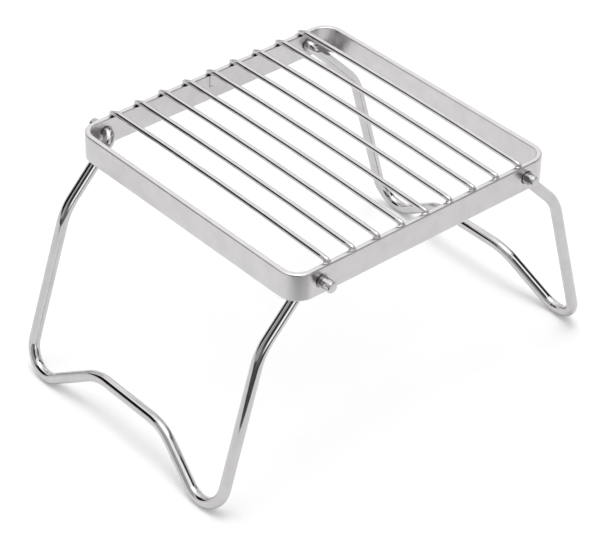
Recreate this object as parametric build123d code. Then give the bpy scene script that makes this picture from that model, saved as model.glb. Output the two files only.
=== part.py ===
from build123d import *
import math
import os

# Driving dimensions in mm: floor at z = 0, legs open, rods along Y, legs on the X sides
BAND_SIDE = 165.1
BAND_THICK = 3.0
BAND_HEIGHT = 15.0
BAND_CORNER = 11.0
BAND_EDGE = 0.3
RIM_Z = 127.0

ROD_COUNT = 9
ROD_PITCH = 15.4
ROD_DIA = 3.0
ROD_SIDES = 10
ROD_CROWN = 3.6
ROD_CROWN_Y = 27.0
ROD_CROWN_BEND = 2717.0
ROD_FRONT_DIP_Y = -77.0
ROD_BACK_DIP_Y = 75.8
ROD_FRONT_END = (-81.3, 1.2)
ROD_BACK_END = (80.9, 1.35)
ROD_DIP_BEND = 6.0

WIRE_DIA = 6.0
WIRE_SIDES = 10
PIN_X = 66.2
PIN_BELOW_RIM = 7.1
PIN_HOLE_DIA = 6.1
COLLAR_GAP = 0.4
COLLAR_LONG = 2.8
COLLAR_WIDE = 7.2
COLLAR_FLAT = 5.0
STUB_DIA = 5.6
STUB_CHAMFER = 0.6

ARM_Y = 74.9
KNEE_X = 96.5
KNEE_BELOW_RIM = 38.5
FOOT_X = 123.75
ARCH_X = 115.5
ARCH_BELOW_RIM = 103.5
PIN_BEND = 4.4
KNEE_BEND = 30.0
FOOT_BEND = 14.0
ARCH_BEND = 28.0

# Each leg as (Y, depth below the rim) of its foot corners, Y of its arch corners, front then
# back, and how far its pins stand out of the band
LEFT_FEET = [(-73.6, 136.208), (79.4, 135.66)]
LEFT_ARCH = [-25.2, 26.4]
LEFT_PIN_OUT = 7.8
RIGHT_FEET = [(-75.2, 135.92), (75.2, 135.92)]
RIGHT_ARCH = [-25.3, 25.3]
RIGHT_PIN_OUT = 6.0

BEAD_FOOT = 2.0
BEAD_TOP = 1.5
BEAD_TALL = 1.0
BEAD_ROOT = 0.9
BEAD_Y = 80.0
SEAM_WIDE = 0.4
SEAM_DEEP = 0.4
SEAM_LONG = 7.2
TACK_DIA = 1.3
TACK_RISE = 0.35

HALF = BAND_SIDE / 2
CLEAR = 0.02


# Paths of bent wire

def bent_path(corners, radii):
    """Straight runs between the corners, joined by arcs of the given centreline radii."""
    points = [Vector(*corner) for corner in corners]
    edges = []
    start = points[0]
    for before, corner, after, radius in zip(points, points[1:], points[2:], radii):
        back = (before - corner).normalized()
        onward = (after - corner).normalized()
        half_angle = math.acos(back.dot(onward)) / 2
        run = radius / math.tan(half_angle)
        inward = (back + onward).normalized()
        first = corner + back * run
        middle = corner + inward * (radius / math.sin(half_angle) - radius)
        last = corner + onward * run
        edges.append(Edge.make_line(start, first))
        edges.append(Edge.make_three_point_arc(first, middle, last))
        start = last
    edges.append(Edge.make_line(start, points[-1]))
    return Wire(edges)


def bent_bar(path, diameter, sides):
    """A bar of round stock swept along a path, its section drawn with the given sides."""
    across = Plane(origin=path @ 0, x_dir=(0, 0, 1), z_dir=path % 0)
    return sweep(across * RegularPolygon(diameter / 2, sides), path=path)


def rod_room(x, side, clearance):
    """The room that a rod's end takes on the rim, at the front (-1) or the back (1)."""
    end, dip = rod_profile()[::-side][:2]
    tip = Vector(x, end[0], RIM_Z + end[1])
    inward = Vector(0, dip[0] - end[0], dip[1] - end[1]).normalized()
    section = Plane(origin=tip - inward * clearance, x_dir=(0, 0, 1), z_dir=inward)
    return extrude(section * RegularPolygon(ROD_DIA / 2 + clearance, ROD_SIDES), 5)


# Band

def rounded_ring():
    """The flat strip bent into a rounded square, with its long edges eased."""
    inside = BAND_SIDE - 2 * BAND_THICK
    outline = RectangleRounded(BAND_SIDE, BAND_SIDE, BAND_CORNER)
    opening = RectangleRounded(inside, inside, BAND_CORNER - BAND_THICK)
    ring = extrude(outline - opening, BAND_HEIGHT)
    edges = ring.edges().group_by(Axis.Z)
    ring = chamfer(edges[0] + edges[-1], BAND_EDGE)
    return Pos(0, 0, RIM_Z - BAND_HEIGHT) * ring


def pin_holes():
    """Drills for the four leg pins, through the front and back sides."""
    drill = Rot(90, 0, 0) * Cylinder(PIN_HOLE_DIA / 2, BAND_SIDE + 10)
    z = RIM_Z - PIN_BELOW_RIM
    return [Pos(side * PIN_X, 0, z) * drill for side in (-1, 1)]


def rod_seats():
    """Shallow pockets pressed into the rim under every rod end."""
    return [rod_room(x, side, CLEAR) for x in rod_positions() for side in (-1, 1)]


def seam_grooves():
    """The fine open line where the ends of the strip meet, above the welded lower half."""
    groove = Box(SEAM_WIDE, 2 * SEAM_DEEP, 2 * SEAM_LONG)
    return [Pos(0, y, RIM_Z) * groove for y in (HALF, HALF - BAND_THICK)]


def tack_spots():
    """Two small weld spots side by side where the seam's open line ends, on the inner face."""
    inner = HALF - BAND_THICK
    z = RIM_Z - SEAM_LONG
    spots = []
    for x, drop in ((0, 0), (TACK_DIA * 1.2, 0.5)):
        wall = Plane(origin=(x, inner, z - drop), z_dir=(0, -1, 0))
        spots.append(extrude(wall * RegularPolygon(TACK_DIA / 2, 8), TACK_RISE, taper=30))
    return spots


def frame_band():
    """The square band with its pin holes, rod seats and closing seam."""
    band = rounded_ring()
    for cutter in pin_holes() + rod_seats() + seam_grooves():
        band -= cutter
    for spot in tack_spots():
        band += spot
    return band


# Grid

def rod_positions():
    """X of every rod, left to right."""
    middle = (ROD_COUNT - 1) / 2
    return [(index - middle) * ROD_PITCH for index in range(ROD_COUNT)]


def crown_rise(y):
    """Height of a rod's centreline above the rim, on its long low arc."""
    return ROD_CROWN - (y - ROD_CROWN_Y) ** 2 / (2 * ROD_CROWN_BEND)


def rod_profile():
    """Corners (Y, height above the rim) of a rod: both cut ends lie on the rim.

    The arc stands highest a little behind the middle, so the back end dips more steeply.
    """
    front, back = ROD_FRONT_DIP_Y, ROD_BACK_DIP_Y
    middle = (front + back) / 2
    climb = (ROD_CROWN_Y - front) / ROD_CROWN_BEND
    peak = crown_rise(front) + climb * (middle - front)
    return [
        ROD_FRONT_END,
        (front, crown_rise(front)),
        (middle, peak),
        (back, crown_rise(back)),
        ROD_BACK_END,
    ]


def rod_path(x):
    """The centreline of the rod at the given X."""
    corners = [(x, y, RIM_Z + rise) for y, rise in rod_profile()]
    half_turn = (ROD_BACK_DIP_Y - ROD_FRONT_DIP_Y) / 2 / ROD_CROWN_BEND
    room = (ROD_BACK_DIP_Y - ROD_FRONT_DIP_Y) / 2 - 1.5
    return bent_path(corners, [ROD_DIP_BEND, room / math.tan(half_turn), ROD_DIP_BEND])


def grill_rod(x):
    """One round rod of the grid, cut square at both ends."""
    return bent_bar(rod_path(x), ROD_DIA, ROD_SIDES)


def weld_bead(x, side, band, rod):
    """The small nugget of weld around a rod end, shaped by the rod and the rim it fills."""
    y = side * BEAD_Y
    root = Plane(origin=(x, y, RIM_Z - BEAD_ROOT)) * RegularPolygon(BEAD_FOOT, 8, rotation=22.5)
    top = Plane(origin=(x, y, RIM_Z + BEAD_TALL)) * RegularPolygon(BEAD_TOP, 8, rotation=22.5)
    return loft([root, top]) - rod_room(x, side, 2 * CLEAR) - band - rod


def weld_beads(side, band, rods):
    """The beads of one end of the grid, as one set of separate solids."""
    beads = []
    for x, rod in zip(rod_positions(), rods):
        beads += weld_bead(x, side, band, rod).solids()
    return Compound(children=beads)


# Legs

def leg_path(feet, arch):
    """Pin, arm, knee, shin, foot and arch, then the same back again, in one length of wire."""
    inner = HALF - BAND_THICK
    pin_z = RIM_Z - PIN_BELOW_RIM
    knee_z = RIM_Z - KNEE_BELOW_RIM
    arch_z = RIM_Z - ARCH_BELOW_RIM
    (front_y, front_drop), (back_y, back_drop) = feet
    corners = [
        (-PIN_X, -inner, pin_z),
        (-PIN_X, -ARM_Y, pin_z),
        (-KNEE_X, -ARM_Y, knee_z),
        (-FOOT_X, front_y, RIM_Z - front_drop),
        (-ARCH_X, arch[0], arch_z),
        (-ARCH_X, arch[1], arch_z),
        (-FOOT_X, back_y, RIM_Z - back_drop),
        (-KNEE_X, ARM_Y, knee_z),
        (-PIN_X, ARM_Y, pin_z),
        (-PIN_X, inner, pin_z),
    ]
    bends = [PIN_BEND, KNEE_BEND, FOOT_BEND, ARCH_BEND]
    return bent_path(corners, bends + bends[::-1])


def pin_end(out):
    """The free end of a pin along -Y: shank, pinched collar with two ears, and a round stub.

    The ears stand square to the arm, as a tool closing on the flat of the leg leaves them.
    """
    ears = Vector(PIN_BELOW_RIM - KNEE_BELOW_RIM, 0, KNEE_X - PIN_X)
    shank_from = HALF - BAND_THICK
    collar_from = HALF + COLLAR_GAP
    collar_mid = collar_from + COLLAR_LONG / 2
    collar_to = collar_from + COLLAR_LONG
    facing = Plane(origin=(0, 0, 0), x_dir=ears, z_dir=(0, -1, 0))
    shank = extrude(facing.offset(shank_from) * Circle(WIRE_DIA / 2), collar_from - shank_from)
    sections = [
        facing.offset(collar_from) * Circle(WIRE_DIA / 2),
        facing.offset(collar_mid) * Ellipse(COLLAR_WIDE / 2, COLLAR_FLAT / 2),
        facing.offset(collar_to) * Circle(STUB_DIA / 2),
    ]
    collar = loft(sections, ruled=True)
    stub = extrude(facing.offset(collar_to) * Circle(STUB_DIA / 2), HALF + out - collar_to)
    stub = chamfer(stub.edges().sort_by(Axis.Y)[0], STUB_CHAMFER)
    return shank + collar + stub


def leg(feet, arch, pin_out):
    """One leg on the -X side, with the pinched pin ends that hold it in the band."""
    body = bent_bar(leg_path(feet, arch), WIRE_DIA, WIRE_SIDES)
    front = Pos(-PIN_X, 0, RIM_Z - PIN_BELOW_RIM) * pin_end(pin_out)
    return body + front + mirror(front, about=Plane.XZ)


# Files, one per node

def main():
    os.makedirs("parts", exist_ok=True)
    band = frame_band()
    rods = [grill_rod(x) for x in rod_positions()]
    left = leg(LEFT_FEET, LEFT_ARCH, LEFT_PIN_OUT)
    right = mirror(leg(RIGHT_FEET, RIGHT_ARCH, RIGHT_PIN_OUT), about=Plane.YZ)
    parts = {
        "frame_band": band,
        "front_weld_beads": weld_beads(-1, band, rods),
        "back_weld_beads": weld_beads(1, band, rods),
        "left_leg": left,
        "right_leg": right,
    }
    for number, rod in enumerate(rods, 1):
        parts[f"grill_rod_{number}"] = rod
    for node, shape in parts.items():
        export_step(shape, f"parts/{node}.step")
        size = shape.bounding_box()
        print(node, len(shape.solids()), round(shape.volume, 1), size.min, size.max)


main()
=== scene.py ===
"""Portable folding grill: the dressed model, its studio and its camera.

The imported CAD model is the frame. The rods, the band, the welds and the legs are rebuilt here
as smooth bent stock, in the places and sizes of the CAD nodes they replace.
"""
import logging
import math
from dataclasses import dataclass, field
from enum import Enum
from typing import Iterable, Sequence

import bmesh
import bpy
from mathutils import Matrix, Vector, noise


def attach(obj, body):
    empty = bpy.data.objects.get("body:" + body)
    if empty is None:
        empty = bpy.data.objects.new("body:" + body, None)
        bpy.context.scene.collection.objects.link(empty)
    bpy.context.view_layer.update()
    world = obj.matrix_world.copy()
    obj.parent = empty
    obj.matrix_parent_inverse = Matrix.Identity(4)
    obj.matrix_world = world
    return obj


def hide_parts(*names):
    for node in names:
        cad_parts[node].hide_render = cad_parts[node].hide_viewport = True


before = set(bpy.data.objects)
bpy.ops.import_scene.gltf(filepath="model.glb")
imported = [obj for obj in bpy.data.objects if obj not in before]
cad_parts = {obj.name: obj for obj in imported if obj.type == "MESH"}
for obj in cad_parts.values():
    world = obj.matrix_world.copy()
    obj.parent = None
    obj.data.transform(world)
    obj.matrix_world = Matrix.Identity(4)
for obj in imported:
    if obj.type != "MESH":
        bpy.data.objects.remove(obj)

log = logging.getLogger("grill")

MM = 0.001
GRID_BODY = "grid_frame"


class End(Enum):
    """The two ends of the rods."""

    FRONT = -1
    BACK = 1


class Flank(Enum):
    """The two sides of the grill that carry a leg."""

    LEFT = -1
    RIGHT = 1


def linear(colour: str) -> tuple[float, float, float, float]:
    """Turns an sRGB hex colour into linear values.

    Args:
        colour: Six hex digits with or without a leading hash sign.

    Returns:
        Linear red, green, blue and an alpha of 1.
    """
    digits = colour.lstrip("#")
    channels = [int(digits[i:i + 2], 16) / 255 for i in (0, 2, 4)]
    red, green, blue = (c / 12.92 if c <= 0.04045 else ((c + 0.055) / 1.055) ** 2.4
                        for c in channels)
    return (red, green, blue, 1.0)


def add(tree: bpy.types.NodeTree, kind: str, settings: dict | None = None,
        links: dict | None = None) -> bpy.types.Node:
    """Adds one shader node with its settings and links.

    Args:
        tree: The node tree that gets the node.
        kind: Blender's type name of the node.
        settings: Attributes of the node by name, and socket values by input name or number.
        links: Output sockets by the name or number of the input they feed.

    Returns:
        The new node.
    """
    node = tree.nodes.new(kind)
    for name, value in (settings or {}).items():
        if isinstance(name, str) and hasattr(node, name):
            setattr(node, name, value)
        else:
            node.inputs[name].default_value = value
    for name, socket in (links or {}).items():
        tree.links.new(socket, node.inputs[name])
    return node


# Stock: metal fed forward and bent, ring by ring


class Stock:
    """A length of metal that is fed and bent from one end, as a wire bender does it.

    Each ring remembers where it was in the straight stock, so that a pattern drawn along the
    metal follows every bend.
    """

    def __init__(self, start: Matrix) -> None:
        """Starts an empty length.

        Args:
            start: Place of the first section in mm; its local Z is the way the metal is fed.
        """
        self.mesh = bmesh.new()
        self.straight = self.mesh.verts.layers.float_vector.new("straight")
        self.place = start.copy()
        self.length = 0.0
        self.ring: list[bmesh.types.BMEdge] = []

    def round_section(self, radius: float, sides: int) -> None:
        """Makes the first section a closed disc.

        Args:
            radius: Radius of the disc in mm.
            sides: Number of sides round the disc.
        """
        bmesh.ops.create_circle(self.mesh, cap_ends=True, segments=sides, radius=radius)
        self._remember_section()

    def flat_section(self, thick: float, tall: float, rounding: float, steps: int) -> None:
        """Makes the first section a flat strip's outline with rounded corners.

        Args:
            thick: Size along local X in mm.
            tall: Size along local Y in mm.
            rounding: Radius of the corners in mm.
            steps: Faces in each rounded corner.
        """
        bmesh.ops.create_grid(self.mesh, x_segments=1, y_segments=1, size=0.5)
        bmesh.ops.scale(self.mesh, verts=self.mesh.verts, vec=(thick, tall, 1))
        bmesh.ops.bevel(self.mesh, geom=self.mesh.verts[:], offset=rounding, segments=steps,
                        affect="VERTICES", profile=0.5, material=-1)
        bmesh.ops.delete(self.mesh, geom=self.mesh.faces[:], context="FACES_ONLY")
        self._remember_section()

    def _remember_section(self) -> None:
        """Stores the flat section as the start of the straight stock and moves it to its place."""
        for vert in self.mesh.verts:
            vert[self.straight] = vert.co
        bmesh.ops.transform(self.mesh, matrix=self.place, verts=self.mesh.verts)
        self.ring = self.mesh.edges[:]

    def step(self, move: Matrix, fed: float) -> list[bmesh.types.BMVert]:
        """Feeds one short step.

        Args:
            move: Where the section goes from where it is, in mm.
            fed: Length of stock that this takes, in mm.

        Returns:
            The vertices of the new ring.
        """
        made = bmesh.ops.extrude_edge_only(self.mesh, edges=self.ring)["geom"]
        verts = [item for item in made if isinstance(item, bmesh.types.BMVert)]
        fresh = set(verts)
        self.ring = [item for item in made if isinstance(item, bmesh.types.BMEdge)
                     and item.verts[0] in fresh and item.verts[1] in fresh]
        bmesh.ops.transform(self.mesh, matrix=move, verts=verts)
        self.place = move @ self.place
        self.length += fed
        for vert in verts:
            vert[self.straight].z = self.length
        return verts

    def run(self, length: float) -> None:
        """Feeds straight stock.

        Args:
            length: Length to feed in mm.
        """
        heading = self.place.to_3x3() @ Vector((0, 0, 1))
        self.step(Matrix.Translation(heading * length), length)

    def bend(self, centre: Vector, axis: Vector, angle: float, radius: float, steps: int) -> None:
        """Bends the stock round a centre.

        Args:
            centre: A point on the axis of the bend, in mm.
            axis: The axis of the bend.
            angle: How far it turns, in radians.
            radius: Radius of the centreline in mm.
            steps: Number of equal steps.
        """
        turn = (Matrix.Translation(centre) @ Matrix.Rotation(angle / steps, 4, axis)
                @ Matrix.Translation(-centre))
        for _ in range(steps):
            self.step(turn, radius * angle / steps)

    def reshape(self, feed: float, wide: float, flat: float) -> None:
        """Feeds a short run and changes the section's size, as a swage or a pinching tool does.

        Args:
            feed: Length to feed in mm.
            wide: Factor along the section's local X.
            flat: Factor along the section's local Y.
        """
        heading = self.place.to_3x3() @ Vector((0, 0, 1))
        verts = self.step(Matrix.Translation(heading * feed), feed)
        bmesh.ops.scale(self.mesh, verts=verts, vec=(wide, flat, 1), space=self.place.inverted())

    def cap(self) -> None:
        """Closes the last ring."""
        bmesh.ops.edgeloop_fill(self.mesh, edges=self.ring)

    def join_ends(self) -> None:
        """Joins the last ring to the first one, which lie on each other."""
        bmesh.ops.remove_doubles(self.mesh, verts=self.mesh.verts, dist=0.01)

    def finish(self, name: str, sharp: float = 40.0) -> bpy.types.Object:
        """Turns the stock into an object in metres.

        Args:
            name: Name of the object.
            sharp: Edges that turn more than this many degrees stay crisp.

        Returns:
            The object, linked to the scene, at the origin.
        """
        bmesh.ops.recalc_face_normals(self.mesh, faces=self.mesh.faces)
        bmesh.ops.scale(self.mesh, verts=self.mesh.verts, vec=(MM, MM, MM))
        return mesh_object(name, self.mesh, sharp)


def mesh_object(name: str, source: bmesh.types.BMesh, sharp: float = 40.0) -> bpy.types.Object:
    """Makes a smooth shaded object of a mesh in metres.

    Args:
        name: Name of the object.
        source: The mesh, which is freed.
        sharp: Edges that turn more than this many degrees stay crisp.

    Returns:
        The object, linked to the scene, at the origin.
    """
    data = bpy.data.meshes.new(name)
    source.to_mesh(data)
    source.free()
    data.shade_smooth()
    data.set_sharp_from_angle(angle=math.radians(sharp))
    made = bpy.data.objects.new(name, data)
    bpy.context.scene.collection.objects.link(made)
    return made


@dataclass
class Route:
    """Straight runs between corners, with a bend of its own radius at each inner corner."""

    corners: Sequence[Vector]
    radii: Sequence[float]
    degrees_per_step: float = 4.0

    def heading(self) -> Vector:
        """Direction of the first run."""
        return (self.corners[1] - self.corners[0]).normalized()

    def feed(self, stock: Stock, skip: float = 0.0, keep: float = 0.0) -> None:
        """Feeds stock along the whole route.

        Args:
            stock: The stock, whose section stands at the start of the route.
            skip: Length of the first run that the stock has behind it already, in mm.
            keep: Length of the last run that isn't fed, in mm.
        """
        here = self.corners[0] + self.heading() * skip
        inner = zip(self.corners, self.corners[1:], self.corners[2:], self.radii)
        for before, corner, after, radius in inner:
            back = (before - corner).normalized()
            onward = (after - corner).normalized()
            half = back.angle(onward) / 2
            first = corner + back * (radius / math.tan(half))
            centre = corner + (back + onward).normalized() * (radius / math.sin(half))
            turn = math.pi - 2 * half
            stock.run((first - here).length)
            steps = max(2, math.ceil(math.degrees(turn) / self.degrees_per_step))
            stock.bend(centre, (-back).cross(onward).normalized(), turn, radius, steps)
            here = corner + onward * (radius / math.tan(half))
        stock.run((self.corners[-1] - here).length - keep)


def facing(origin: Vector, heading: Vector, across: Vector) -> Matrix:
    """Places a section.

    Args:
        origin: Its centre in mm.
        heading: The way the stock is fed, which is the section's local Z.
        across: A direction near the section's local X.

    Returns:
        The matrix from the section to the object.
    """
    z = heading.normalized()
    y = z.cross(across).normalized()
    x = y.cross(z)
    return Matrix.Translation(origin) @ Matrix((x, y, z)).transposed().to_4x4()


# Finishes


@dataclass(frozen=True)
class Steel:
    """Polished stainless steel, with the traces of how its surface was made.

    Stainless steel reflects about two thirds of the light and is very slightly warm. The draw
    or roll lines follow the metal through its bends, because they are read from its straight
    length. Real ones are about 0.05 mm wide, too fine to show here, so they are drawn a quarter
    to a third of a millimetre wide and very shallow. The patches are where handling has hazed
    the polish.
    """

    name: str
    colour: str = "#D5D3D4"
    dark: str = "#CFCDCE"
    roughness: float = 0.06
    worn: float = 0.09
    line_mm: float = 0.25
    line_stretch: float = 60.0
    line_depth_mm: float = 0.002
    patch_mm: float = 9.0
    patch_fade: tuple[float, float] = (0.35, 0.62)
    haze_fade: tuple[float, float] = (0.12, 0.42)
    wave_mm: float = 14.0
    wave_depth_mm: float = 0.012

    def material(self) -> bpy.types.Material:
        """Builds the material.

        Returns:
            The node material.
        """
        made = bpy.data.materials.new(self.name)
        made.use_nodes = True
        tree = made.node_tree
        tree.nodes.clear()
        along = add(tree, "ShaderNodeAttribute", {"attribute_name": "straight"})
        stretched = add(tree, "ShaderNodeMapping", {"Scale": (1, 1, 1 / self.line_stretch)},
                        {"Vector": along.outputs["Vector"]})
        lines = add(tree, "ShaderNodeTexNoise",
                    {"Scale": 1 / self.line_mm, "Detail": 3.0, "Roughness": 0.6},
                    {"Vector": stretched.outputs["Vector"]})
        spot = add(tree, "ShaderNodeTexCoord")
        patches = add(tree, "ShaderNodeTexNoise",
                      {"Scale": 1 / (self.patch_mm * MM), "Detail": 4.0, "Roughness": 0.55},
                      {"Vector": spot.outputs["Object"]})
        waves = add(tree, "ShaderNodeTexNoise",
                    {"Scale": 1 / (self.wave_mm * MM), "Detail": 1.0},
                    {"Vector": spot.outputs["Object"]})
        fade = add(tree, "ShaderNodeMapRange",
                   {"interpolation_type": "SMOOTHSTEP", "From Min": self.patch_fade[0],
                    "From Max": self.patch_fade[1]}, {"Value": patches.outputs["Fac"]})
        colour = add(tree, "ShaderNodeMix",
                     {"data_type": "RGBA", 6: linear(self.dark), 7: linear(self.colour)},
                     {0: fade.outputs["Result"]})
        haze = add(tree, "ShaderNodeMath", {"operation": "MULTIPLY"},
                   {0: patches.outputs["Fac"], 1: lines.outputs["Fac"]})
        rough = add(tree, "ShaderNodeMapRange",
                    {"From Min": self.haze_fade[0], "From Max": self.haze_fade[1],
                     "To Min": self.roughness, "To Max": self.worn},
                    {"Value": haze.outputs["Value"]})
        sway = add(tree, "ShaderNodeBump",
                   {"Strength": 1.0, "Distance": self.wave_depth_mm * MM},
                   {"Height": waves.outputs["Fac"]})
        draw = add(tree, "ShaderNodeBump",
                   {"Strength": 1.0, "Distance": self.line_depth_mm * MM},
                   {"Height": lines.outputs["Fac"], "Normal": sway.outputs["Normal"]})
        steel = add(tree, "ShaderNodeBsdfPrincipled", {"Metallic": 1.0},
                    {"Base Color": colour.outputs[2], "Roughness": rough.outputs["Result"],
                     "Normal": draw.outputs["Normal"]})
        add(tree, "ShaderNodeOutputMaterial", links={"Surface": steel.outputs["BSDF"]})
        return made


@dataclass(frozen=True)
class WeldSteel:
    """Resistance weld metal, smeared out bright over the rod's end and a little rough.

    Where it reaches in past the rim's inner edge, into the crevice, its colour is painted near
    black as painted shade of the crevice, which shows as a black dot beside each rod's end.
    """

    name: str = "heat_dulled_weld_steel"
    colour: str = "#CDCBCA"
    tint: str = "#BEBCBA"
    # Painted shade: this near-black colour, and the band of |Y| where the weld turns to it, stand
    # for the shade in the crevice at the rim's inner edge.
    crevice_shade: str = "#1E1C1B"
    crevice_shade_y_mm: tuple[float, float] = (79.75, 79.95)
    roughness: float = 0.22
    coarse: float = 0.42
    grain_mm: float = 0.35
    grain_depth_mm: float = 0.03
    heat_mm: float = 2.5
    heat_fade: tuple[float, float] = (0.4, 0.6)

    def material(self) -> bpy.types.Material:
        """Builds the material.

        Returns:
            The node material.
        """
        made = bpy.data.materials.new(self.name)
        made.use_nodes = True
        tree = made.node_tree
        tree.nodes.clear()
        spot = add(tree, "ShaderNodeTexCoord")
        grain = add(tree, "ShaderNodeTexNoise",
                    {"Scale": 1 / (self.grain_mm * MM), "Detail": 3.0},
                    {"Vector": spot.outputs["Object"]})
        heat = add(tree, "ShaderNodeTexNoise", {"Scale": 1 / (self.heat_mm * MM), "Detail": 2.0},
                   {"Vector": spot.outputs["Object"]})
        fade = add(tree, "ShaderNodeMapRange",
                   {"interpolation_type": "SMOOTHSTEP", "From Min": self.heat_fade[0],
                    "From Max": self.heat_fade[1]}, {"Value": heat.outputs["Fac"]})
        bright = add(tree, "ShaderNodeMix",
                     {"data_type": "RGBA", 6: linear(self.tint), 7: linear(self.colour)},
                     {0: fade.outputs["Result"]})
        # Painted shade: weld metal that reaches in past the rim's inner edge is painted near
        # black, for the shade in the crevice.
        parts = add(tree, "ShaderNodeSeparateXYZ", links={"Vector": spot.outputs["Object"]})
        out = add(tree, "ShaderNodeMath", {"operation": "ABSOLUTE"}, {0: parts.outputs["Y"]})
        crevice = add(tree, "ShaderNodeMapRange",
                      {"From Min": self.crevice_shade_y_mm[0] * MM, "From Max": self.crevice_shade_y_mm[1] * MM},
                      {"Value": out.outputs["Value"]})
        colour = add(tree, "ShaderNodeMix", {"data_type": "RGBA", 6: linear(self.crevice_shade)},
                     {0: crevice.outputs["Result"], 7: bright.outputs[2]})
        rough = add(tree, "ShaderNodeMapRange",
                    {"To Min": self.roughness, "To Max": self.coarse},
                    {"Value": grain.outputs["Fac"]})
        bump = add(tree, "ShaderNodeBump", {"Strength": 1.0, "Distance": self.grain_depth_mm * MM},
                   {"Height": grain.outputs["Fac"]})
        steel = add(tree, "ShaderNodeBsdfPrincipled", {"Metallic": 1.0},
                    {"Base Color": colour.outputs[2], "Roughness": rough.outputs["Result"],
                     "Normal": bump.outputs["Normal"]})
        add(tree, "ShaderNodeOutputMaterial", links={"Surface": steel.outputs["BSDF"]})
        return made


def dress(piece: bpy.types.Object, finish: bpy.types.Material, body: str,
          replaced: Iterable[str] = ()) -> bpy.types.Object:
    """Gives a piece its material, the body it moves with and the nodes it stands for.

    Args:
        piece: The object.
        finish: Its material.
        body: The CAD body that it rides on.
        replaced: The CAD nodes that it replaces.

    Returns:
        The same object.
    """
    piece.data.materials.clear()
    piece.data.materials.append(finish)
    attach(piece, body)
    if replaced:
        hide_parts(*replaced)
    log.info("%s: %d faces, on %s", piece.name, len(piece.data.polygons), body)
    return piece


# Sub-assemblies, sizes in mm


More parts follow.
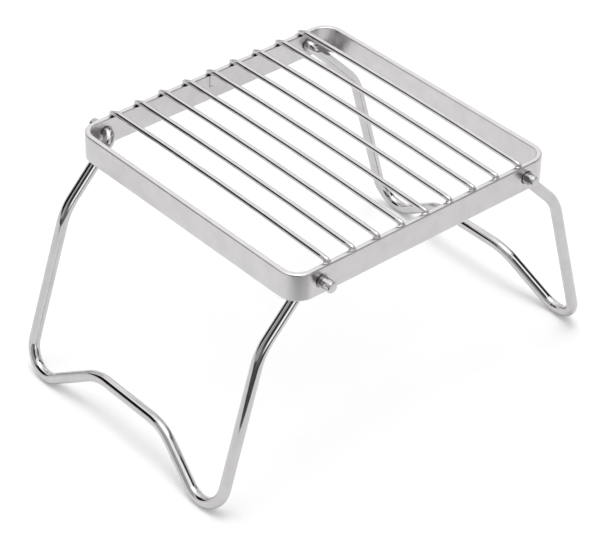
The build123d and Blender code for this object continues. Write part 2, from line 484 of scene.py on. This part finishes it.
@dataclass
class Band:
    """The square band: one strip of flat steel bent at four corners and butted at the back.

    Two tack spots hold the seam's lower end. The holes take the legs' pins, and are drawn wide
    enough for the dark gap round each pin to show.
    """

    side: float = 165.1
    thick: float = 3.0
    tall: float = 15.0
    corner: float = 11.0
    rounding: float = 0.8
    rim: float = 127.0
    pin_x: float = 66.2
    pin_below: float = 7.1
    hole: float = 6.8
    hole_ease: float = 0.3
    hole_sides: int = 48
    seat_play: float = 0.03
    seat_long: float = 5.0
    seat_sides: int = 32
    seam_wide: float = 0.45
    seam_deep: float = 0.5
    seam_long: float = 7.2
    tack: float = 0.65
    tack_flat: float = 0.55
    tack_places: Sequence[tuple[float, float]] = ((0.0, 0.0), (1.6, 0.5))
    overshoot: float = 1.0

    @property
    def half(self) -> float:
        """Half of the side."""
        return self.side / 2

    def strip(self) -> Stock:
        """Bends the strip round the square, starting and ending at the seam."""
        middle = self.half - self.thick / 2
        z = self.rim - self.tall / 2
        start = Vector((0, middle, z))
        square = [start] + [Vector((x * middle, y * middle, z))
                            for x, y in ((1, 1), (1, -1), (-1, -1), (-1, 1))] + [start]
        stock = Stock(facing(start, Vector((1, 0, 0)), Vector((0, 1, 0))))
        stock.flat_section(self.thick, self.tall, self.rounding, 5)
        Route(square, [self.corner - self.thick / 2] * 4, degrees_per_step=6).feed(stock)
        stock.join_ends()
        return stock

    def hole_cutter(self, tool: bmesh.types.BMesh, x: float, end: End) -> None:
        """Adds the drill for one pin hole, flared where the hole's edge is broken.

        Args:
            tool: The mesh of all cutters, in mm.
            x: Place of the hole.
            end: The side of the band that it is in.
        """
        outer, inner, past = self.half, self.half - self.thick, self.overshoot
        ease, radius = self.hole_ease, self.hole / 2
        stations = [(inner - past, radius + ease + past), (inner + ease, radius),
                    (outer - ease, radius), (outer + past, radius + ease + past)]
        centre = Vector((x, end.value * stations[0][0], self.rim - self.pin_below))
        drill = Stock(facing(centre, Vector((0, end.value, 0)), Vector((1, 0, 0))))
        drill.round_section(stations[0][1], self.hole_sides)
        for (y, wide), (next_y, next_wide) in zip(stations, stations[1:]):
            factor = next_wide / wide
            drill.reshape(next_y - y, factor, factor)
        drill.cap()
        copy_into(tool, drill.mesh)

    def seat_cutter(self, tool: bmesh.types.BMesh, x: float, grid: "Grid") -> None:
        """Adds the round bar that presses the seats of one rod into the rim.

        Args:
            tool: The mesh of all cutters, in mm.
            x: Place of the rod.
            grid: The rods.
        """
        for end in End:
            tip, inward = grid.tip(x, end)
            bar = Stock(facing(tip - inward * self.seat_play, inward, Vector((1, 0, 0))))
            bar.round_section(grid.diameter / 2 + self.seat_play, self.seat_sides)
            bar.run(self.seat_long)
            bar.cap()
            copy_into(tool, bar.mesh)

    def seam_cutter(self, tool: bmesh.types.BMesh) -> None:
        """Adds the two thin blades that leave the seam's open line.

        Args:
            tool: The mesh of all cutters, in mm.
        """
        for y in (self.half, self.half - self.thick):
            made = bmesh.ops.create_cube(tool, size=1.0)["verts"]
            bmesh.ops.scale(tool, verts=made,
                            vec=(self.seam_wide, 2 * self.seam_deep, 2 * self.seam_long))
            bmesh.ops.translate(tool, verts=made, vec=(0, y, self.rim))

    def tack_spots(self, target: bmesh.types.BMesh) -> None:
        """Adds the two small weld spots at the lower end of the seam, on the inner face.

        Args:
            target: The mesh that gets them, in mm.
        """
        inner = self.half - self.thick
        for x, drop in self.tack_places:
            made = bmesh.ops.create_icosphere(target, subdivisions=3, radius=self.tack)["verts"]
            bmesh.ops.scale(target, verts=made, vec=(1, self.tack_flat, 1))
            bmesh.ops.translate(target, verts=made,
                                vec=(x, inner, self.rim - self.seam_long - drop))

    def build(self, grid: "Grid") -> bpy.types.Object:
        """Makes the finished band.

        Args:
            grid: The rods, which leave their seats in the rim.

        Returns:
            The band's object.
        """
        tool = bmesh.new()
        for x in (-self.pin_x, self.pin_x):
            for end in End:
                self.hole_cutter(tool, x, end)
        for x in grid.places():
            self.seat_cutter(tool, x, grid)
        self.seam_cutter(tool)
        bmesh.ops.scale(tool, verts=tool.verts, vec=(MM, MM, MM))
        band = self.strip().finish("frame_band_steel")
        cut_away(band, mesh_object("band_cutters", tool))
        spots = bmesh.new()
        spots.from_mesh(band.data)
        bmesh.ops.scale(spots, verts=spots.verts, vec=(1000, 1000, 1000))
        self.tack_spots(spots)
        bmesh.ops.scale(spots, verts=spots.verts, vec=(MM, MM, MM))
        spots.to_mesh(band.data)
        spots.free()
        band.data.shade_smooth()
        band.data.set_sharp_from_angle(angle=math.radians(35))
        weigh = band.modifiers.new("weighted_normals", "WEIGHTED_NORMAL")
        weigh.keep_sharp = True
        return band


def copy_into(target: bmesh.types.BMesh, source: bmesh.types.BMesh) -> None:
    """Adds one mesh to another and frees it.

    Args:
        target: The mesh that grows.
        source: The mesh that is copied and freed.
    """
    bmesh.ops.recalc_face_normals(source, faces=source.faces)
    carrier = bpy.data.meshes.new("carrier")
    source.to_mesh(carrier)
    target.from_mesh(carrier)
    source.free()
    bpy.data.meshes.remove(carrier)


def cut_away(piece: bpy.types.Object, cutter: bpy.types.Object) -> None:
    """Cuts one closed object out of another and removes it.

    Args:
        piece: The object that is cut.
        cutter: The object that cuts, which is removed.
    """
    cut = piece.modifiers.new("cut", "BOOLEAN")
    cut.operation = "DIFFERENCE"
    cut.solver = "EXACT"
    cut.use_self = True
    cut.object = cutter
    graph = bpy.context.evaluated_depsgraph_get()
    result = bpy.data.meshes.new_from_object(piece.evaluated_get(graph))
    piece.modifiers.clear()
    old = piece.data
    piece.data = result
    result.name = piece.name
    bpy.data.meshes.remove(old)
    bpy.data.objects.remove(cutter)


@dataclass
class Grid:
    """The rods of the grid, each one long low arc whose cut ends lie on the rim."""

    count: int = 9
    pitch: float = 15.4
    diameter: float = 2.98
    crown: float = 3.6
    crown_y: float = 27.0
    crown_bend: float = 2717.0
    front: Sequence[tuple[float, float]] = ((-81.3, 1.2), (-77.0, 1.61))
    back: Sequence[tuple[float, float]] = ((80.9, 1.35), (75.8, 3.162))
    dip_bend: float = 6.0
    rim: float = 127.0
    end_ease: float = 0.25
    arc_spare: float = 1.5
    sides: int = 28

    def places(self) -> list[float]:
        """X of every rod, left to right."""
        return [(number - (self.count - 1) / 2) * self.pitch for number in range(self.count)]

    def tip(self, x: float, end: End) -> tuple[Vector, Vector]:
        """Finds one end of a rod.

        Args:
            x: Place of the rod.
            end: Which end.

        Returns:
            The middle of the cut face and the direction from it into the rod, in mm.
        """
        (tip_y, tip_rise), (dip_y, dip_rise) = self.front if end is End.FRONT else self.back
        tip = Vector((x, tip_y, self.rim + tip_rise))
        return tip, (Vector((x, dip_y, self.rim + dip_rise)) - tip).normalized()

    def corners(self, x: float) -> list[Vector]:
        """Corners of a rod's centreline from front to back.

        Args:
            x: Place of the rod.

        Returns:
            The corners in mm.
        """
        middle = (self.front[1][0] + self.back[1][0]) / 2
        climb = (self.crown_y - self.front[1][0]) / self.crown_bend
        peak = self.front[1][1] + climb * (middle - self.front[1][0])
        profile = [*self.front, (middle, peak), *reversed(self.back)]
        return [Vector((x, y, self.rim + rise)) for y, rise in profile]

    def rod(self, number: int, x: float) -> bpy.types.Object:
        """Makes one rod.

        Args:
            number: Its number from the left, from 1.
            x: Its place.

        Returns:
            The rod's object.
        """
        corners = self.corners(x)
        reach = (self.back[1][0] - self.front[1][0]) / 2
        arc = (reach - self.arc_spare) / math.tan(reach / self.crown_bend)
        ease = self.end_ease
        radius = self.diameter / 2
        stock = Stock(facing(corners[0], corners[1] - corners[0], Vector((1, 0, 0))))
        stock.round_section(radius - ease, self.sides)
        shoulder = radius - 0.3 * ease
        stock.reshape(0.3 * ease, shoulder / (radius - ease), shoulder / (radius - ease))
        stock.reshape(0.7 * ease, radius / shoulder, radius / shoulder)
        route = Route(corners, [self.dip_bend, arc, self.dip_bend], degrees_per_step=1.0)
        route.feed(stock, skip=ease, keep=ease)
        stock.reshape(0.7 * ease, shoulder / radius, shoulder / radius)
        stock.reshape(0.3 * ease, (radius - ease) / shoulder, (radius - ease) / shoulder)
        stock.cap()
        return stock.finish(f"grill_rod_{number}_wire")

@dataclass
class WeldBeads:
    """The small nuggets of weld metal round one end of every rod."""

    end: End
    wide: float = 2.1
    long: float = 1.45
    tall: float = 0.85
    y: float = 80.3
    outward: float = 0.0
    rim: float = 127.0
    rise: float = 0.1
    unevenness: float = 0.2
    lump: float = 1.3
    crisp: float = 60.0

    def build(self, grid: Grid) -> bpy.types.Object:
        """Makes all nuggets of this end as one object.

        Args:
            grid: The rods.

        Returns:
            The nuggets' object.
        """
        beads = bmesh.new()
        for number, x in enumerate(grid.places()):
            made = bmesh.ops.create_icosphere(beads, subdivisions=4, radius=1.0)["verts"]
            seed = Vector((number * 7.3, self.end.value * 11.1, 3.7))
            for vert in made:
                rough = noise.fractal(vert.co * self.lump + seed, 0.8, 2.0, 3)
                vert.co *= 1 + self.unevenness * rough
            bmesh.ops.scale(beads, verts=made, vec=(self.wide, self.long, self.tall))
            y = self.end.value * (self.y + self.outward)
            bmesh.ops.translate(beads, verts=made, vec=(x, y, self.rim + self.rise))
        bmesh.ops.scale(beads, verts=beads.verts, vec=(MM, MM, MM))
        return mesh_object(f"{self.end.name.lower()}_weld_nuggets", beads, self.crisp)


@dataclass
class Leg:
    """One leg: a single length of round wire, whose ends stand out of the band as pins.

    Each pin is pinched a little just outside the band, to keep it from slipping back. The feet
    are the Y and the depth below the rim of the two foot corners, and the arch is the Y of its
    two corners, front and back.
    """

    flank: Flank
    feet: Sequence[tuple[float, float]]
    arch: Sequence[float]
    pin_out: float
    wire: float = 5.91
    half: float = 82.55
    rim: float = 127.0
    pin_x: float = 66.2
    pin_below: float = 7.1
    arm_y: float = 74.9
    knee_x: float = 96.5
    knee_below: float = 38.5
    foot_x: float = 123.75
    arch_x: float = 115.5
    arch_below: float = 103.5
    pin_bend: float = 4.4
    knee_bend: float = 30.0
    foot_bend: float = 14.0
    arch_bend: float = 28.0
    collar_gap: float = 0.4
    collar_long: float = 2.8
    collar_wide: float = 6.02
    collar_flat: float = 5.86
    stub: float = 5.86
    ease: float = 0.6
    neck: float = 0.15
    pinch: Sequence[tuple[float, float]] = ((0.0, 0.0), (0.08, 0.35), (0.2, 0.85), (0.3, 1.0),
                                            (0.7, 1.0), (0.8, 0.85), (0.92, 0.35), (1.0, 0.0))
    sides: int = 40
    crisp: float = 55.0

    def corners(self) -> list[Vector]:
        """Corners of the centreline from the tip of the front pin to the tip of the back one."""
        s = self.flank.value
        tip = self.half + self.pin_out
        pin_z = self.rim - self.pin_below
        knee_z = self.rim - self.knee_below
        arch_z = self.rim - self.arch_below
        (front_y, front_drop), (back_y, back_drop) = self.feet
        places = [
            (self.pin_x, -tip, pin_z),
            (self.pin_x, -self.arm_y, pin_z),
            (self.knee_x, -self.arm_y, knee_z),
            (self.foot_x, front_y, self.rim - front_drop),
            (self.arch_x, self.arch[0], arch_z),
            (self.arch_x, self.arch[1], arch_z),
            (self.foot_x, back_y, self.rim - back_drop),
            (self.knee_x, self.arm_y, knee_z),
            (self.pin_x, self.arm_y, pin_z),
            (self.pin_x, tip, pin_z),
        ]
        return [Vector((s * x, y, z)) for x, y, z in places]

    def pin_profile(self) -> list[tuple[float, float, float]]:
        """Stations of a pin from its tip: distance, half width over the pinch, half thickness."""
        ease, stub = self.ease, self.stub / 2
        start = self.pin_out - self.collar_gap - self.collar_long
        wide, flat, full = self.collar_wide / 2, self.collar_flat / 2, self.wire / 2
        stations = [(0.0, stub - ease, stub - ease)]
        for angle in (30, 60, 90):
            a = math.radians(angle)
            size = stub - ease + ease * math.sin(a)
            stations.append((ease * (1 - math.cos(a)), size, size))
        stations.append((start - self.neck, stub, stub))
        for part, blend in self.pinch:
            base = stub if part < 0.5 else full
            stations.append((start + part * self.collar_long,
                             base + (wide - base) * blend, base + (flat - base) * blend))
        return stations

    def build(self) -> bpy.types.Object:
        """Bends the leg.

        Returns:
            The leg's object.
        """
        corners = self.corners()
        ears = Vector((self.flank.value * (self.knee_below - self.pin_below), 0,
                       self.knee_x - self.pin_x))
        profile = self.pin_profile()
        stock = Stock(facing(corners[0], Vector((0, 1, 0)), ears))
        stock.round_section(profile[0][1], self.sides)
        for (at, wide, flat), (then, new_wide, new_flat) in zip(profile, profile[1:]):
            stock.reshape(then - at, new_wide / wide, new_flat / flat)
        done = profile[-1][0]
        bends = [self.pin_bend, self.knee_bend, self.foot_bend, self.arch_bend]
        route = Route(corners, bends + bends[::-1], degrees_per_step=3.5)
        route.feed(stock, skip=done, keep=done)
        self._square_up(stock, ears)
        back = profile[::-1]
        for (at, wide, flat), (then, new_wide, new_flat) in zip(back, back[1:]):
            stock.reshape(at - then, new_wide / wide, new_flat / flat)
        stock.cap()
        return stock.finish(f"{self.flank.name.lower()}_leg_wire", self.crisp)

    @staticmethod
    def _square_up(stock: Stock, ears: Vector) -> None:
        """Turns the section's own axes to the ears before the second pin is pinched.

        Args:
            stock: The stock.
            ears: The direction of the ears.
        """
        heading = stock.place.to_3x3() @ Vector((0, 0, 1))
        stock.place = facing(stock.place.translation, heading, ears)


# Studio


@dataclass(frozen=True)
class Flag:
    """A card hung round the table.

    Polished metal shows a dark one as a streak and a pale one as a gleam. Azimuth is counted
    from the back, +Y, towards the right, +X. All sizes are in degrees; the lean is how far the
    card's middle rises per degree towards the right.
    """

    azimuth: float
    elevation: float
    wide: float
    tall: float
    light: float
    soft: float
    lean: float = 0.0


@dataclass
class Studio:
    """A white table under a soft box with a lamp in it, in a pale room with cards round it.

    The table ends a little in front of the grill; past its two edges (turn in degrees, reach in
    metres) the metal mirrors the dark room. Its glow is added for the camera. A painted pool of
    light, a glow that only mirrored views see, lies round the grill and fades away from it. Lights
    are shares of white, and the box's and the lamp's edges are elevations in degrees.
    """

    table_size: float = 1.8
    table_edges: Sequence[tuple[float, float]] = ((-30.0, 0.268), (0.0, 0.252))
    table_colour: str = "#ECECEC"
    table_glow: float = 0.145
    # Painted light: a glow on the table that only mirrored views see, brightest round the grill.
    painted_pool_light: float = 0.12
    painted_pool_reach: tuple[float, float] = (0.05, 0.33)
    card_ends: Sequence[tuple[float, float]] = ((-0.395, 0.150), (-0.270, 0.500))
    card_heights: tuple[float, float] = (0.105, 0.490)
    card_colour: str = "#181818"
    room: str = "#F0F0F0"
    box_edge: float = 54.0
    box_soft: float = 4.0
    box_light: float = 1.38
    lamp_edge: float = 76.0
    lamp_light: float = 6.0
    flags: Sequence[Flag] = field(default_factory=lambda: [
        Flag(-88, 26, 60, 52, 0.52, 8),
        Flag(0, 11, 36, 12, 0.55, 8),
        Flag(-5, 50, 60, 14, 1.2, 6),
        Flag(41, 37, 26, 20, 1.34, 6),
        Flag(114, 47, 72, 20, 0.02, 5, 0.75),
        Flag(143, 15, 40, 50, 0.25, 5),
        Flag(-138, -22, 120, 46, 0.08, 6),
        Flag(-137, 6, 46, 38, 0.2, 10),
        Flag(-132, 36, 40, 38, 0.05, 8),
        Flag(-169, 6, 28, 24, 1.5, 4),
    ])

    def floor(self) -> None:
        """Lays the pale table and cuts its front edges."""
        sheet = bmesh.new()
        bmesh.ops.create_grid(sheet, x_segments=1, y_segments=1, size=self.table_size / 2)
        for turn, reach in self.table_edges:
            outward = Vector((math.sin(math.radians(turn)), -math.cos(math.radians(turn)), 0))
            bmesh.ops.bisect_plane(sheet, geom=sheet.verts[:] + sheet.edges[:] + sheet.faces[:],
                                   plane_co=outward * reach, plane_no=outward, clear_outer=True)
        table = mesh_object("studio_table", sheet)
        # White laminate scatters light evenly, so the grill's shadow lies soft on it.
        finish = bpy.data.materials.new("white_table_laminate")
        finish.use_nodes = True
        tree = finish.node_tree
        tree.nodes.clear()
        matt = add(tree, "ShaderNodeBsdfDiffuse", {"Color": linear(self.table_colour)})
        glow = add(tree, "ShaderNodeEmission", {"Color": linear("#FFFFFF")})
        ray = add(tree, "ShaderNodeLightPath")
        spot = add(tree, "ShaderNodeTexCoord")
        # Painted light: a pool of glow round the grill, seen only in mirrored views, fading with
        # distance from the grill's middle.
        far = add(tree, "ShaderNodeVectorMath", {"operation": "LENGTH"},
                  {0: spot.outputs["Object"]})
        pool = add(tree, "ShaderNodeMapRange",
                   {"interpolation_type": "SMOOTHSTEP", "From Min": self.painted_pool_reach[0],
                    "From Max": self.painted_pool_reach[1], "To Min": self.painted_pool_light, "To Max": 0.0},
                   {"Value": far.outputs["Value"]})
        mirrored_pool = add(tree, "ShaderNodeMath", {"operation": "MULTIPLY"},
                    {0: ray.outputs["Is Glossy Ray"], 1: pool.outputs["Result"]})
        share = add(tree, "ShaderNodeMath", {"operation": "MULTIPLY_ADD", 1: self.table_glow},
                    {0: ray.outputs["Is Camera Ray"], 2: mirrored_pool.outputs["Value"]})
        tree.links.new(share.outputs["Value"], glow.inputs["Strength"])
        both = add(tree, "ShaderNodeAddShader",
                   links={0: matt.outputs["BSDF"], 1: glow.outputs["Emission"]})
        add(tree, "ShaderNodeOutputMaterial", links={"Surface": both.outputs["Shader"]})
        table.data.materials.append(finish)

    def card(self) -> None:
        """Stands a black velvet card at the back left, out of the picture.

        It is near, so each wire mirrors it at its own height; a card painted on the sky can't.
        """
        (x0, y0), (x1, y1) = self.card_ends
        low, high = self.card_heights
        sheet = bmesh.new()
        bmesh.ops.create_grid(sheet, x_segments=1, y_segments=1, size=0.5)
        across = Vector((x1 - x0, y1 - y0, 0))
        stand = Matrix((across.normalized(), Vector((0, 0, 1)),
                        across.cross(Vector((0, 0, 1))).normalized())).transposed().to_4x4()
        bmesh.ops.scale(sheet, verts=sheet.verts, vec=(across.length, high - low, 1))
        bmesh.ops.transform(sheet, verts=sheet.verts, matrix=Matrix.Translation(
            ((x0 + x1) / 2, (y0 + y1) / 2, (low + high) / 2)) @ stand)
        # Velvet swallows nearly all light: the wires show it as a thin black line.
        velvet = bpy.data.materials.new("black_velvet_card")
        velvet.use_nodes = True
        tree = velvet.node_tree
        tree.nodes.clear()
        matt = add(tree, "ShaderNodeBsdfDiffuse", {"Color": linear(self.card_colour)})
        add(tree, "ShaderNodeOutputMaterial", links={"Surface": matt.outputs["BSDF"]})
        card = mesh_object("studio_card", sheet)
        card.data.materials.append(velvet)
        card.visible_diffuse = False
        card.visible_camera = False
        card.visible_shadow = False

    def sky(self) -> None:
        """Surrounds the table with the soft box, its lamp, the room and the cards."""
        world = bpy.data.worlds.new("soft_box_and_flags")
        bpy.context.scene.world = world
        world.use_nodes = True
        tree = world.node_tree
        tree.nodes.clear()
        spot = add(tree, "ShaderNodeTexCoord")
        parts = add(tree, "ShaderNodeSeparateXYZ", links={"Vector": spot.outputs["Generated"]})
        around = add(tree, "ShaderNodeMath", {"operation": "ARCTAN2"},
                     {0: parts.outputs["X"], 1: parts.outputs["Y"]})
        height = add(tree, "ShaderNodeMath", {"operation": "ARCSINE"}, {0: parts.outputs["Z"]})
        azimuth = add(tree, "ShaderNodeMath", {"operation": "DEGREES"},
                      {0: around.outputs["Value"]})
        elevation = add(tree, "ShaderNodeMath", {"operation": "DEGREES"},
                        {0: height.outputs["Value"]})
        room = linear(self.room)[0]
        light = add(tree, "ShaderNodeMapRange",
                    {"interpolation_type": "SMOOTHSTEP",
                     "From Min": self.box_edge - self.box_soft,
                     "From Max": self.box_edge + self.box_soft,
                     "To Min": room, "To Max": self.box_light},
                    {"Value": elevation.outputs["Value"]}).outputs["Result"]
        lamp = add(tree, "ShaderNodeMapRange",
                   {"interpolation_type": "SMOOTHSTEP",
                    "From Min": self.lamp_edge - self.box_soft,
                    "From Max": self.lamp_edge + self.box_soft,
                    "To Min": 0.0, "To Max": self.lamp_light - self.box_light},
                   {"Value": elevation.outputs["Value"]})
        light = add(tree, "ShaderNodeMath", {"operation": "ADD"},
                    {0: light, 1: lamp.outputs["Result"]}).outputs["Value"]
        for flag in self.flags:
            light = self.hang(tree, flag, azimuth.outputs["Value"],
                              elevation.outputs["Value"], light)
        tent = add(tree, "ShaderNodeBackground", {"Color": linear("#FFFFFF")},
                   {"Strength": light})
        white = add(tree, "ShaderNodeBackground", {"Color": linear("#FFFFFF"), "Strength": 1.0})
        ray = add(tree, "ShaderNodeLightPath")
        mixed = add(tree, "ShaderNodeMixShader",
                    links={"Fac": ray.outputs["Is Camera Ray"], 1: tent.outputs["Background"],
                           2: white.outputs["Background"]})
        add(tree, "ShaderNodeOutputWorld", links={"Surface": mixed.outputs["Shader"]})

    @staticmethod
    def hang(tree: bpy.types.NodeTree, flag: Flag, azimuth: bpy.types.NodeSocket,
             elevation: bpy.types.NodeSocket, light: bpy.types.NodeSocket) -> bpy.types.NodeSocket:
        """Sets the light to a card's own where the card hangs.

        Args:
            tree: The world's node tree.
            flag: The card.
            azimuth: Socket with the azimuth in degrees.
            elevation: Socket with the elevation in degrees.
            light: Socket with the light so far.

        Returns:
            Socket with the light and the card.
        """
        apart = add(tree, "ShaderNodeMath", {"operation": "SUBTRACT", 1: flag.azimuth},
                    {0: azimuth})
        wrapped = add(tree, "ShaderNodeMath", {"operation": "WRAP", 1: 180.0, 2: -180.0},
                      {0: apart.outputs["Value"]})
        leant = add(tree, "ShaderNodeMath", {"operation": "MULTIPLY_ADD", 1: flag.lean,
                                             2: flag.elevation}, {0: wrapped.outputs["Value"]})
        above = add(tree, "ShaderNodeMath", {"operation": "SUBTRACT"},
                    {0: elevation, 1: leant.outputs["Value"]})
        inside = []
        for offset, size in ((wrapped, flag.wide), (above, flag.tall)):
            far = add(tree, "ShaderNodeMath", {"operation": "ABSOLUTE"},
                      {0: offset.outputs["Value"]})
            inside.append(add(tree, "ShaderNodeMapRange",
                              {"interpolation_type": "SMOOTHSTEP",
                               "From Min": size / 2 - flag.soft / 2,
                               "From Max": size / 2 + flag.soft / 2,
                               "To Min": 1.0, "To Max": 0.0}, {"Value": far.outputs["Value"]}))
        cover = add(tree, "ShaderNodeMath", {"operation": "MULTIPLY"},
                    {0: inside[0].outputs["Result"], 1: inside[1].outputs["Result"]})
        dimmed = add(tree, "ShaderNodeMix", {"data_type": "FLOAT", "B": flag.light},
                     {"Factor": cover.outputs["Value"], "A": light})
        return dimmed.outputs["Result"]

    def build(self) -> None:
        """Sets up the table and the light."""
        self.floor()
        self.card()
        self.sky()


@dataclass
class PhotoCamera:
    """The photograph's camera, fitted to the band's edges and the outlines of the legs."""

    focal_px: float = 2520.29
    image_width: int = 600
    azimuth: float = -41.459
    elevation: float = 35.953
    roll: float = 1.054
    target: tuple[float, float, float] = (-73.712, -75.907, 127.0)
    distance: float = 1148.386
    sensor: float = 36.0

    def build(self) -> None:
        """Creates the camera and makes it the scene's camera."""
        az, el, roll = (math.radians(a) for a in (self.azimuth, self.elevation, self.roll))
        out = Vector((math.sin(az) * math.cos(el), -math.cos(az) * math.cos(el), math.sin(el)))
        right = Vector((math.cos(az), math.sin(az), 0))
        up = out.cross(right)
        right, up = (right * math.cos(roll) + up * math.sin(roll),
                     up * math.cos(roll) - right * math.sin(roll))
        place = (Vector(self.target) + out * self.distance) * MM
        lens = bpy.data.cameras.new("photo_camera")
        lens.sensor_width = self.sensor
        lens.sensor_fit = "HORIZONTAL"
        lens.lens = self.focal_px / self.image_width * self.sensor
        lens.clip_start = 0.01
        lens.clip_end = 50.0
        camera = bpy.data.objects.new("photo_camera", lens)
        camera.matrix_world = (Matrix.Translation(place)
                               @ Matrix((right, up, out)).transposed().to_4x4())
        bpy.context.scene.collection.objects.link(camera)
        bpy.context.scene.camera = camera


def main() -> None:
    """Builds the grill, its studio and its camera."""
    logging.basicConfig(level=logging.INFO, format="%(name)s: %(message)s")
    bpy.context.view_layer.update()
    grid, band = Grid(), Band()
    # Rolled and lightly polished strip is satin: it mirrors the room softly, without outlines.
    strip_steel = Steel("rolled_stainless_strip", roughness=0.30, worn=0.34, line_mm=0.35,
                        line_stretch=90, line_depth_mm=0.0004, wave_depth_mm=0.0).material()
    # Electropolishing leaves drawn rod and wire mirror bright, with a faint sway from drawing.
    rod_steel = Steel("electropolished_stainless_rod", colour="#CFCDCE", dark="#C9C7C8",
                      wave_depth_mm=0.004).material()
    wire_steel = Steel("electropolished_stainless_wire", colour="#CBC9CA", dark="#C5C3C4",
                       wave_depth_mm=0.006).material()
    weld_steel = WeldSteel().material()
    dress(band.build(grid), strip_steel, GRID_BODY, ["frame_band"])
    for number, x in enumerate(grid.places(), 1):
        dress(grid.rod(number, x), rod_steel, GRID_BODY, [f"grill_rod_{number}"])
    for beads, node in ((WeldBeads(End.FRONT, outward=0.5), "front_weld_beads"),
                        (WeldBeads(End.BACK), "back_weld_beads")):
        dress(beads.build(grid), weld_steel, GRID_BODY, [node])
    left = Leg(Flank.LEFT, [(-73.6, 136.164), (79.4, 135.616)], [-25.2, 26.4], 7.79)
    right = Leg(Flank.RIGHT, [(-75.2, 135.877), (75.2, 135.877)], [-25.3, 25.3], 6.0)
    dress(left.build(), wire_steel, "left_wire", ["left_leg"])
    dress(right.build(), wire_steel, "right_wire", ["right_leg"])
    Studio().build()
    PhotoCamera().build()
    bpy.context.scene.view_settings.view_transform = "Standard"


if __name__ == "__main__":
    main()
